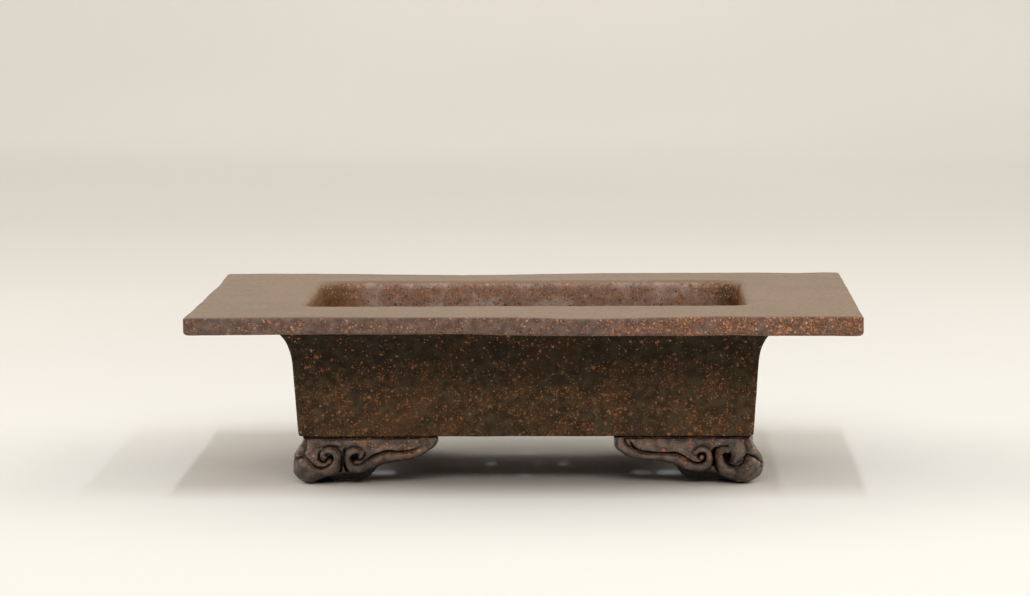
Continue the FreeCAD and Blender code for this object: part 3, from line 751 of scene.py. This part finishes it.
def foot_rows(columns, drawing):
    """Rows of stand-out, share of the depth and height, round the section of a foot: down the
    carved face, under the sole, which drops to a low heel behind the scrolls, up the back and
    across the hidden top.  Also the painted shade of the face's grooves."""
    drawn = np.where(columns >= 0, drawn_distance(columns, FRONT_WING),
                     drawn_distance(-columns, SIDE_WING))
    low = smoothed(sole_height(drawn, drawing), 4) * MM
    heights, stand, hollow = carved_face(columns, drawn, low, drawing)
    heel = low * (1.0 - HEEL_DROP * smoothstep(50.0, 38.0, drawn))
    top = np.full_like(columns, FOOT_TOP)
    rows = [(stand[row], 0.0, heights[row]) for row in range(FACE_ROWS)]
    rows += [(stand[-1], step, low + (heel - low) * smoothstep(0.1, 0.5, step))
             for step in np.linspace(0.0, 1.0, UNDER_ROWS + 2)[1:]]
    rows += [(stand[0], 1.0, heel + (FOOT_TOP - heel) * step)
             for step in np.linspace(0.0, 1.0, BACK_ROWS + 2)[1:]]
    rows += [(stand[0], step, top) for step in np.linspace(1.0, 0.0, TOP_ROWS + 2)[1:-1]]
    return rows, hollow


def make_foot(corner, x_sign, y_sign, drawing, clay):
    """One carved corner foot: a grid of columns along it and rows round its section."""
    columns = foot_columns(SIDE_WING, FRONT_WING)
    rows, hollow = foot_rows(columns, drawing)
    to_end = np.minimum(columns + SIDE_WING, FRONT_WING - columns)
    fullness = np.sqrt(1.0 - (1.0 - np.clip(to_end / WING_END_ROUND, 0.0, 1.0)) ** 2)
    middle = -FOOT_DEPTH * 0.5
    grid = []
    for stand_out, depth_share, height in rows:
        x_in, y_in = foot_plan(columns, middle + (stand_out - middle) * fullness,
                               0.5 + (depth_share - 0.5) * fullness)
        grid.append(np.stack([(CORNER_X - x_in) * x_sign, (CORNER_Y - y_in) * y_sign, height],
                             axis=-1))
    grid = np.array(grid)
    worked = hand_wobble(grid, *FOOT_DENTS, drawing["seed"])
    worked = hand_wobble(worked, *FOOT_GRAIN, drawing["seed"] + 5)
    grid = grid + (worked - grid) * smoothstep(0.0, FIXED_LAYER, grid[..., 2:3])
    grid[..., 2] = np.clip(grid[..., 2], 0.0, FOOT_TOP)
    count, length, _ = grid.shape
    # painted shade over the sole, back and top of the foot
    plain = np.full((count - FACE_ROWS, length), UNDERSIDE_SHADE)
    foot = new_object(f"clay_foot_{corner}", grid.reshape(-1, 3), strip_faces(count, length),
                      CARVED_SHARP_ANGLE, np.vstack([hollow, plain]).ravel())
    finish_piece(foot, clay, f"foot_{corner}")


FOOT_DRAWINGS = {
    "front_left": CALM_FOOT,
    "front_right": BOLD_FOOT,
    "back_left": {**BOLD_FOOT, "seed": 307},
    "back_right": {**CALM_FOOT, "seed": 401},
}


def make_feet(clay):
    for corner, x_sign, y_sign in CORNERS:
        make_foot(corner, x_sign, y_sign, FOOT_DRAWINGS[corner], clay)


# ---------------------------------------------------------------- slip seams

BEAD_RISE = 1.0 * MM            # half the height of the squeezed-out bead
BEAD_PROUD = (1.3, 0.7)         # mm that it stands out, and how much that varies
BEAD_LUMP = 3.2 * MM
BEAD_TURNS = np.radians(np.linspace(-90, 90, 9))
BEAD_SEED = 71
SEAM_STEP = 0.8 * MM
SEAM_END_GAP = 1.4 * MM         # the sheet under the bead ends this far short of a wing's tip
SEAM_FRONT_MARGIN = 0.6 * MM    # and reaches this far past the foot's neck and its back
SEAM_BACK_MARGIN = 0.4 * MM


def make_seams(slip):
    """Slip squeezed out between foot and floor: an L-shaped sheet with a lumpy bead edge.  Its
    near-black colour is painted shade of the gap under the body.
    """
    for corner, x_sign, y_sign in CORNERS:
        drawing = FOOT_DRAWINGS[corner]
        outline = seam_outline(drawing["neck"] * MM - SEAM_FRONT_MARGIN,
                               FOOT_DEPTH + SEAM_BACK_MARGIN)
        steps = len(outline)
        tangent = np.roll(outline, -1, axis=0) - np.roll(outline, 1, axis=0)
        tangent /= np.linalg.norm(tangent, axis=1)[:, None]
        outward = np.stack([tangent[:, 1], -tangent[:, 0]], axis=-1)
        lumps = noise(np.column_stack([outline, np.full(steps, drawing["seed"] * MM)]),
                      BEAD_LUMP, BEAD_SEED)
        proud = (BEAD_PROUD[0] + BEAD_PROUD[1] * lumps) * MM
        rows = []
        for turn in BEAD_TURNS:
            flat = outline + outward * (proud * math.cos(turn))[:, None]
            height = BODY_BOTTOM - BEAD_RISE + BEAD_RISE * math.sin(turn)
            rows.append(np.column_stack([(CORNER_X - flat[:, 0]) * x_sign,
                                         (CORNER_Y - flat[:, 1]) * y_sign,
                                         np.full(steps, height)]))
        seam = new_object(f"slip_bead_{corner}", np.array(rows).reshape(-1, 3),
                          tube_faces(len(rows), steps), CARVED_SHARP_ANGLE)
        finish_piece(seam, slip, f"slip_seam_{corner}")


def seam_outline(near, back):
    """Closed L in distances in from the body's corner, resampled evenly, running clockwise."""
    front_end, side_end = FRONT_WING - SEAM_END_GAP, SIDE_WING - SEAM_END_GAP
    corners = [(near, near), (front_end, near), (front_end, back), (back, back),
               (back, side_end), (near, side_end)]
    points = []
    for start, end in zip(corners, corners[1:] + corners[:1]):
        count = max(2, int(math.dist(start, end) / SEAM_STEP))
        points.extend(np.linspace(start, end, count, endpoint=False))
    points = np.array(points)
    for _ in range(3):
        points = (np.roll(points, 1, axis=0) + points * 2 + np.roll(points, -1, axis=0)) / 4
    return points


# ---------------------------------------------------------------- materials

class Recipe:
    """Builds one material's node tree.  Values are numbers, colours or outputs of other nodes."""

    def __init__(self, name):
        self.material = bpy.data.materials.new(name)
        self.material.use_nodes = True
        self.nodes = self.material.node_tree.nodes
        self.links = self.material.node_tree.links
        self.shader = self.nodes["Principled BSDF"]
        self.place = self.nodes.new("ShaderNodeTexCoord").outputs["Object"]
        self.facing = self.nodes.new("ShaderNodeNewGeometry").outputs["Normal"]

    def put(self, socket, value):
        if isinstance(value, bpy.types.NodeSocket):
            self.links.new(value, socket)
        elif isinstance(value, tuple):
            socket.default_value = value if socket.type == "VECTOR" else (*value, 1.0)
        else:
            socket.default_value = value

    def math(self, operation, first, second=0.0):
        node = self.nodes.new("ShaderNodeMath")
        node.operation = operation
        self.put(node.inputs[0], first)
        self.put(node.inputs[1], second)
        return node.outputs[0]

    def times(self, first, second):
        return self.math("MULTIPLY", first, second)

    def between(self, value, low, high, to_low=0.0, to_high=1.0):
        """Smooth step of a value from one range to another; the ranges may run backwards."""
        node = self.nodes.new("ShaderNodeMapRange")
        node.interpolation_type = "SMOOTHSTEP"
        self.put(node.inputs["Value"], value)
        self.put(node.inputs["From Min"], low)
        self.put(node.inputs["From Max"], high)
        self.put(node.inputs["To Min"], to_low)
        self.put(node.inputs["To Max"], to_high)
        return node.outputs["Result"]

    def blend(self, share, first, second):
        node = self.nodes.new("ShaderNodeMix")
        node.data_type = "RGBA"
        self.put(node.inputs["Factor"], share)
        self.put(node.inputs[6], first)
        self.put(node.inputs[7], second)
        return node.outputs[2]

    def cloud(self, size, detail=2.0):
        """Noise from 0 to 1 whose blobs have about the given size in millimetres."""
        node = self.nodes.new("ShaderNodeTexNoise")
        self.put(node.inputs["Vector"], self.place)
        node.inputs["Scale"].default_value = 1000.0 / size
        node.inputs["Detail"].default_value = detail
        return node.outputs["Fac"]

    def cells(self, size, shift):
        """Scattered points about `size` millimetres apart, with ragged outlines: the distance to
        the nearest in units of that size, and three random numbers of it."""
        ragged = self.nodes.new("ShaderNodeTexNoise")
        self.put(ragged.inputs["Vector"], self.place)
        ragged.inputs["Scale"].default_value = 1600.0 / size
        ragged.inputs["Detail"].default_value = 1.0
        moved = self.nodes.new("ShaderNodeVectorMath")
        moved.operation = "MULTIPLY_ADD"
        self.put(moved.inputs[0], ragged.outputs["Color"])
        reach = size * 0.9 * MM
        moved.inputs[1].default_value = (reach, reach, reach)
        self.put(moved.inputs[2], self.place)
        aside = self.nodes.new("ShaderNodeVectorMath")
        self.put(aside.inputs[0], moved.outputs["Vector"])
        aside.inputs[1].default_value = (shift, shift * 0.7, shift * 1.3)
        node = self.nodes.new("ShaderNodeTexVoronoi")
        self.put(node.inputs["Vector"], aside.outputs["Vector"])
        node.inputs["Scale"].default_value = 1000.0 / size
        parts = self.nodes.new("ShaderNodeSeparateColor")
        self.put(parts.inputs["Color"], node.outputs["Color"])
        return node.outputs["Distance"], parts.outputs

    def ramp(self, value, stops):
        node = self.nodes.new("ShaderNodeValToRGB")
        elements = node.color_ramp.elements
        while len(elements) < len(stops):
            elements.new(0.5)
        for element, (position, colour) in zip(elements, stops):
            element.position = position
            element.color = (*colour, 1.0)
        self.put(node.inputs["Fac"], value)
        return node.outputs["Color"]

    def split(self, vector):
        node = self.nodes.new("ShaderNodeSeparateXYZ")
        self.put(node.inputs["Vector"], vector)
        return node.outputs

    def scaled(self, colour, factor):
        """A colour made lighter or darker from place to place."""
        node = self.nodes.new("ShaderNodeVectorMath")
        node.operation = "SCALE"
        self.put(node.inputs[0], colour)
        self.put(node.inputs["Scale"], factor)
        return node.outputs["Vector"]

    def bump(self, height, distance, strength):
        """Fine relief: the height socket spans `distance` millimetres."""
        node = self.nodes.new("ShaderNodeBump")
        node.inputs["Strength"].default_value = strength
        node.inputs["Distance"].default_value = distance * MM
        self.put(node.inputs["Height"], height)
        self.put(self.shader.inputs["Normal"], node.outputs["Normal"])


GROG_COLOURS = [
    (0.00, (0.10, 0.040, 0.022)), (0.30, (0.20, 0.070, 0.028)), (0.60, (0.32, 0.115, 0.040)),
    (0.88, (0.33, 0.150, 0.075)), (1.00, (0.38, 0.230, 0.140)),
]
GROG_SIZES = [(0.95, 0.55, 0.56), (1.8, 0.48, 0.50), (3.2, 0.28, 0.42)]  # mm, share, radius
PORE = (0.012, 0.007, 0.004)
PORE_SPACING, PORE_SHIFT, PORE_SHARE = 1.9, 0.77, 0.25
PORE_RIM = (0.34, 0.16)
# pale lining of the long walls: the clay's own paler inside plus painted light
INNER_CLAY_AND_LIGHT = (0.395, 0.290, 0.240)
INNER_END_CLAY = (0.125, 0.066, 0.025)
INNER_END_BAND = (106 * MM, 127 * MM)   # where the inside turns to the end walls
INNER_SPAN = 120 * MM
# near-black colour of the painted shade in the feet's grooves and undersides
GROOVE_SHADE_COLOUR = (0.010, 0.006, 0.004)
RUST = (0.110, 0.054, 0.022)
LIP_SHADE_BAND = (LIP_UNDERSIDE - 8 * MM, LIP_UNDERSIDE - 50 * MM)  # painted shade under the lip fades out over this
LOW_WALL_LIGHT_TONE = 1.25               # tone of the wall below the painted shade: painted light
GROG_BAND = (LIP_UNDERSIDE - 14 * MM, LIP_UNDERSIDE - 42 * MM)   # grog shows more over this
INSIDE_CROWDING = 2.2
# over this height the feet go from painted shade to painted light
FOOT_SHADE_TO_LIGHT_BAND = (3 * MM, 24 * MM)


def stoneware(name, dark, light, rust, crowding, glow, roughness, shine, dust_and_sheen=None, lip_shade_tone=1.0,
              inner=False, carved=False):
    """Unglazed grogged clay: a mottled body colour, rusty clouds, grog and dark pores.
    `crowding` gives the share of grog at each place and `glow` its brightness.  `dust_and_sheen`
    is the pale colour of clay that faces up, dusting with a painted sheen, and `lip_shade_tone`
    the painted shade high on the walls.  Clay that lines the pot is paler inside it, partly painted
    light, and carved clay has painted shade in its grooves and low down, painted light higher up."""
    clay = Recipe(name)
    mottle = clay.between(clay.cloud(5.0, 3.0), 0.36, 0.66)
    colour = clay.blend(mottle, dark, light)
    clouds = clay.between(clay.cloud(26.0, 3.0), 0.50, 0.74, 0.0, rust)
    colour = clay.blend(clouds, colour, RUST)
    if lip_shade_tone < 1.0:
        # painted shade high on the wall under the lip, turning to painted light lower down
        height = clay.split(clay.place)["Z"]
        colour = clay.scaled(colour, clay.between(height, *LIP_SHADE_BAND, lip_shade_tone, LOW_WALL_LIGHT_TONE))
    if inner:
        colour = with_pale_inside_and_light(clay, colour)
    colour, specks = with_grog(clay, colour, crowding(clay), glow)
    colour, pores = with_pores(clay, colour)
    if dust_and_sheen:
        colour = with_dust_and_sheen(clay, colour, dust_and_sheen)
    if carved:
        colour = with_painted_groove_shade(clay, colour)
    clay.put(clay.shader.inputs["Base Color"], colour)
    rough = clay.between(clay.cloud(3.0, 2.0), 0.3, 0.7, roughness - 0.07, roughness + 0.07)
    clay.put(clay.shader.inputs["Roughness"], rough)
    clay.put(clay.shader.inputs["Specular IOR Level"], shine)

    relief = clay.math("ADD", clay.cloud(1.1, 3.0), clay.times(specks, 0.35))
    relief = clay.math("SUBTRACT", relief, clay.times(pores, 0.9))
    clay.bump(relief, 0.32 if carved else 0.18, 0.6)
    return clay.material


def with_pale_inside_and_light(clay, colour):
    """The pot's lining: pale on the long walls, partly the clay and partly painted light; brown on
    the end walls, with painted light on the left one and painted shade on the right one.
    """
    along = clay.split(clay.place)["X"]
    # painted light on the left end wall, painted shade on the right one
    side = clay.between(along, -INNER_SPAN, INNER_SPAN, 1.35, 0.85)
    ends = clay.between(clay.math("ABSOLUTE", along), *INNER_END_BAND)
    pale = clay.blend(ends, INNER_CLAY_AND_LIGHT, clay.scaled(INNER_END_CLAY, side))
    tone = clay.between(clay.cloud(4.0, 3.0), 0.3, 0.7, 0.82, 1.12)
    return clay.blend(inside_pot(clay), colour, clay.scaled(pale, tone))


def with_grog(clay, colour, crowding, glow):
    """Rust to tan specks of three sizes that come in crowds, with rust between them."""
    crowd = clay.between(clay.cloud(15.0, 3.0), 0.34, 0.70, 0.35, 1.55)
    crowd = clay.times(crowd, crowding)
    halo = clay.between(crowd, 0.7, 1.9, 0.0, 0.45)
    colour = clay.blend(halo, colour, RUST)
    specks = 0.0
    for number, (size, share, widest) in enumerate(GROG_SIZES):
        distance, chance = clay.cells(size, 0.31 * number)
        present = clay.math("LESS_THAN", chance["Red"], clay.times(crowd, share))
        radius = clay.between(chance["Green"], 0.0, 1.0, widest * 0.35, widest)
        spot = clay.between(clay.math("SUBTRACT", radius, distance), -0.06, 0.14)
        spot = clay.times(spot, present)
        tint = clay.scaled(clay.ramp(chance["Blue"], GROG_COLOURS), glow)
        colour = clay.blend(clay.times(spot, 0.8), colour, tint)
        specks = clay.math("MAXIMUM", spot, specks)
    return colour, specks


def with_pores(clay, colour):
    distance, chance = clay.cells(PORE_SPACING, PORE_SHIFT)
    pores = clay.times(clay.between(distance, *PORE_RIM),
                       clay.math("LESS_THAN", chance["Red"], PORE_SHARE))
    return clay.blend(clay.times(pores, 0.7), colour, PORE), pores


def with_dust_and_sheen(clay, colour, dust_and_sheen):
    """Pale clay with a ragged border wherever the surface faces up: dusting, and painted sheen."""
    facing_up = clay.split(clay.facing)["Z"]
    ragged = clay.times(clay.cloud(2.2), 0.30)
    dust_sheen_share = clay.between(clay.math("ADD", facing_up, ragged), 0.74, 0.98, 0.0, 0.94)
    tone = clay.between(clay.cloud(1.3, 2.0), 0.25, 0.75, 0.86, 1.10)
    drift = clay.between(clay.cloud(30.0, 3.0), 0.3, 0.7, 0.94, 1.05)
    return clay.blend(dust_sheen_share, colour, clay.scaled(dust_and_sheen, clay.times(tone, drift)))


def with_painted_groove_shade(clay, colour):
    """Painted shade towards the ground and in the grooves, by the mesh's own "hollow" numbers,
    and painted light on the feet's upper parts.
    """
    height = clay.split(clay.place)["Z"]
    # painted shade low on the feet and painted light on their upper panels
    colour = clay.scaled(colour, clay.between(height, *FOOT_SHADE_TO_LIGHT_BAND, 0.70, 1.30))
    hollow = clay.nodes.new("ShaderNodeAttribute")
    hollow.attribute_name = "hollow"
    # painted shade: near black where the mesh's "hollow" numbers are high
    return clay.blend(clay.between(hollow.outputs["Fac"], 0.04, 0.75), colour, GROOVE_SHADE_COLOUR)


def inside_pot(clay):
    """One on the upper part of the inside and nought elsewhere."""
    place = clay.split(clay.place)
    outer, inner = OPENING_REACH + 5 * MM, OPENING_REACH + 2 * MM
    along = clay.between(clay.math("ABSOLUTE", place["X"]), EXCESS + outer, EXCESS + inner)
    across = clay.between(clay.math("ABSOLUTE", place["Y"]), outer, inner)
    upper = clay.between(place["Z"], FLOOR_TOP + 4 * MM, FLOOR_TOP + 30 * MM)
    return clay.times(clay.times(along, across), upper)


def body_crowding(clay):
    """Grog shows inside and low on the walls, and less under the lip."""
    height = clay.split(clay.place)["Z"]
    low = clay.between(height, *GROG_BAND, 0.28, 0.95)
    return clay.math("MAXIMUM", low, clay.times(inside_pot(clay), INSIDE_CROWDING))


def lip_crowding(clay):
    """Grog shows most on the right-hand part of the lip and around the opening."""
    along = clay.split(clay.place)["X"]
    right = clay.between(along, 20 * MM, 150 * MM, 0.55, 2.0)
    return clay.math("MAXIMUM", right, clay.times(inside_pot(clay), INSIDE_CROWDING))


def foot_crowding(clay):
    return clay.between(clay.cloud(20.0), 0.35, 0.7, 0.15, 0.95)


def paper(name, colour):
    """Matt background paper with faint long waves of tone."""
    sheet = Recipe(name)
    waves = sheet.between(sheet.cloud(900.0, 1.0), 0.3, 0.7, 0.97, 1.0)
    sheet.put(sheet.shader.inputs["Base Color"], sheet.scaled(colour, waves))
    sheet.put(sheet.shader.inputs["Roughness"], 0.85)
    sheet.put(sheet.shader.inputs["Specular IOR Level"], 0.2)
    return sheet.material


# ---------------------------------------------------------------- stage

CAMERA_PLACE = (57.7 * MM, -2735.8 * MM, 363.2 * MM)
CAMERA_LENS = 154.9
CAMERA_SENSOR = 36.0
CAMERA_PITCH = math.radians(5.397)
CAMERA_YAW = math.radians(1.352)
CAMERA_ROLL = math.radians(0.269)


def make_camera():
    data = bpy.data.cameras.new("camera")
    data.sensor_width = CAMERA_SENSOR
    data.lens = CAMERA_LENS
    data.clip_start = 0.05
    data.clip_end = 60.0
    camera = bpy.data.objects.new("camera", data)
    camera.location = CAMERA_PLACE
    camera.rotation_euler = Euler((math.pi / 2 - CAMERA_PITCH, CAMERA_ROLL, CAMERA_YAW), "XYZ")
    bpy.context.collection.objects.link(camera)
    bpy.context.scene.camera = camera


WARM = (1.0, 0.935, 0.85)
COOL = (0.88, 0.96, 1.0)


ROOM_STRENGTH = 0.17
POT_MIDDLE = (0.0, 0.0, 0.05)
POT_BACK = (0.0, 0.2, 0.1)

# Name, place, what it points at, width and length, watts and colour.  The two long ceiling tubes
# run from front to back, one almost overhead and one to the right, which is why the lip throws
# two offset shadows.
LIGHTS = [
    ("tube_top", (0.106, -1.0, 2.96), (0.106, -1.0, 0.0), (0.12, 1.9), 23.5, COOL),
    ("tube_right", (1.57, -1.0, 2.96), (1.57, -1.0, 0.0), (0.12, 1.9), 17.0, COOL),
    ("front_high", (0.1, -1.7, 2.0), POT_MIDDLE, (2.6, 0.9), 12.5, WARM),
    ("front_low", (0.2, -2.2, 1.5), POT_MIDDLE, (2.2, 0.6), 12.5, WARM),
    ("side_left", (-1.6, 0.35, 1.25), POT_BACK, (2.4, 1.2), 20.0, WARM),
    ("side_right", (1.6, 0.35, 1.25), POT_BACK, (2.4, 1.2), 20.0, WARM),
    ("backdrop_light", (0.0, 4.3, 2.8), (0.0, 4.3, 0.0), (6.0, 2.8), 90.0, WARM),
]


def area_light(name, place, aim, size, power, colour):
    data = bpy.data.lights.new(name, "AREA")
    data.energy = power
    data.color = colour
    data.shape = "RECTANGLE"
    data.size, data.size_y = size
    light = bpy.data.objects.new(name, data)
    light.location = place
    direction = Vector(aim) - Vector(place)
    light.rotation_euler = direction.to_track_quat("-Z", "Y").to_euler()
    light.visible_camera = False
    bpy.context.collection.objects.link(light)


def make_lights():
    """A soft room and the area lights above."""
    world = bpy.data.worlds.new("room")
    world.use_nodes = True
    background = world.node_tree.nodes["Background"]
    background.inputs["Color"].default_value = (*WARM, 1.0)
    background.inputs["Strength"].default_value = ROOM_STRENGTH
    bpy.context.scene.world = world
    for light in LIGHTS:
        area_light(*light)


def make_stage():
    """A pale sweep: floor, a long bend and an upright backdrop."""
    half_width, front, bend_start, bend_radius, top = 6.0, -4.5, 3.3, 2.2, 5.0
    bend = arc((bend_start, bend_radius), bend_radius, -85, 0, 18)
    profile = [(front, 0.0), (bend_start, 0.0), *bend, (bend_start + bend_radius, top)]
    vertices = [(x, y, z) for x in (-half_width, half_width) for y, z in profile]
    count = len(profile)
    faces = [(n, n + 1, n + 1 + count, n + count) for n in range(count - 1)]
    mesh = bpy.data.meshes.new("sweep")
    mesh.from_pydata(vertices, [], faces)
    mesh.shade_smooth()
    sweep = bpy.data.objects.new("sweep", mesh)
    bpy.context.collection.objects.link(sweep)
    mesh.materials.append(paper("paper", (0.80, 0.79, 0.76)))


bpy.context.scene.view_settings.view_transform = "Standard"
make_camera()
make_stage()
make_lights()
body_clay = stoneware("stoneware_body", (0.039, 0.026, 0.014), (0.071, 0.052, 0.030), 0.45,
                      body_crowding, 1.1, 0.8, 0.15, lip_shade_tone=0.55, inner=True)
# the last colour is the dusting and painted sheen on the lip's upward faces
lip_clay = stoneware("stoneware_lip", (0.105, 0.063, 0.049), (0.178, 0.113, 0.090), 0.2,
                     lip_crowding, 1.7, 0.62, 0.35, (0.228, 0.156, 0.101), inner=True)
foot_clay = stoneware("stoneware_feet", (0.056, 0.038, 0.027), (0.164, 0.119, 0.091), 0.25,
                      foot_crowding, 1.5, 0.40, 0.6, carved=True)
# the slip's near-black colours are painted shade in the gap between body and feet
slip = stoneware("slip", (0.014, 0.008, 0.005), (0.034, 0.020, 0.011), 0.3, foot_crowding,
                 1.0, 0.8, 0.2)
make_strips(body_clay, lip_clay)
make_floor(body_clay)
make_corner_coils(body_clay)
make_feet(foot_clay)
make_seams(slip)
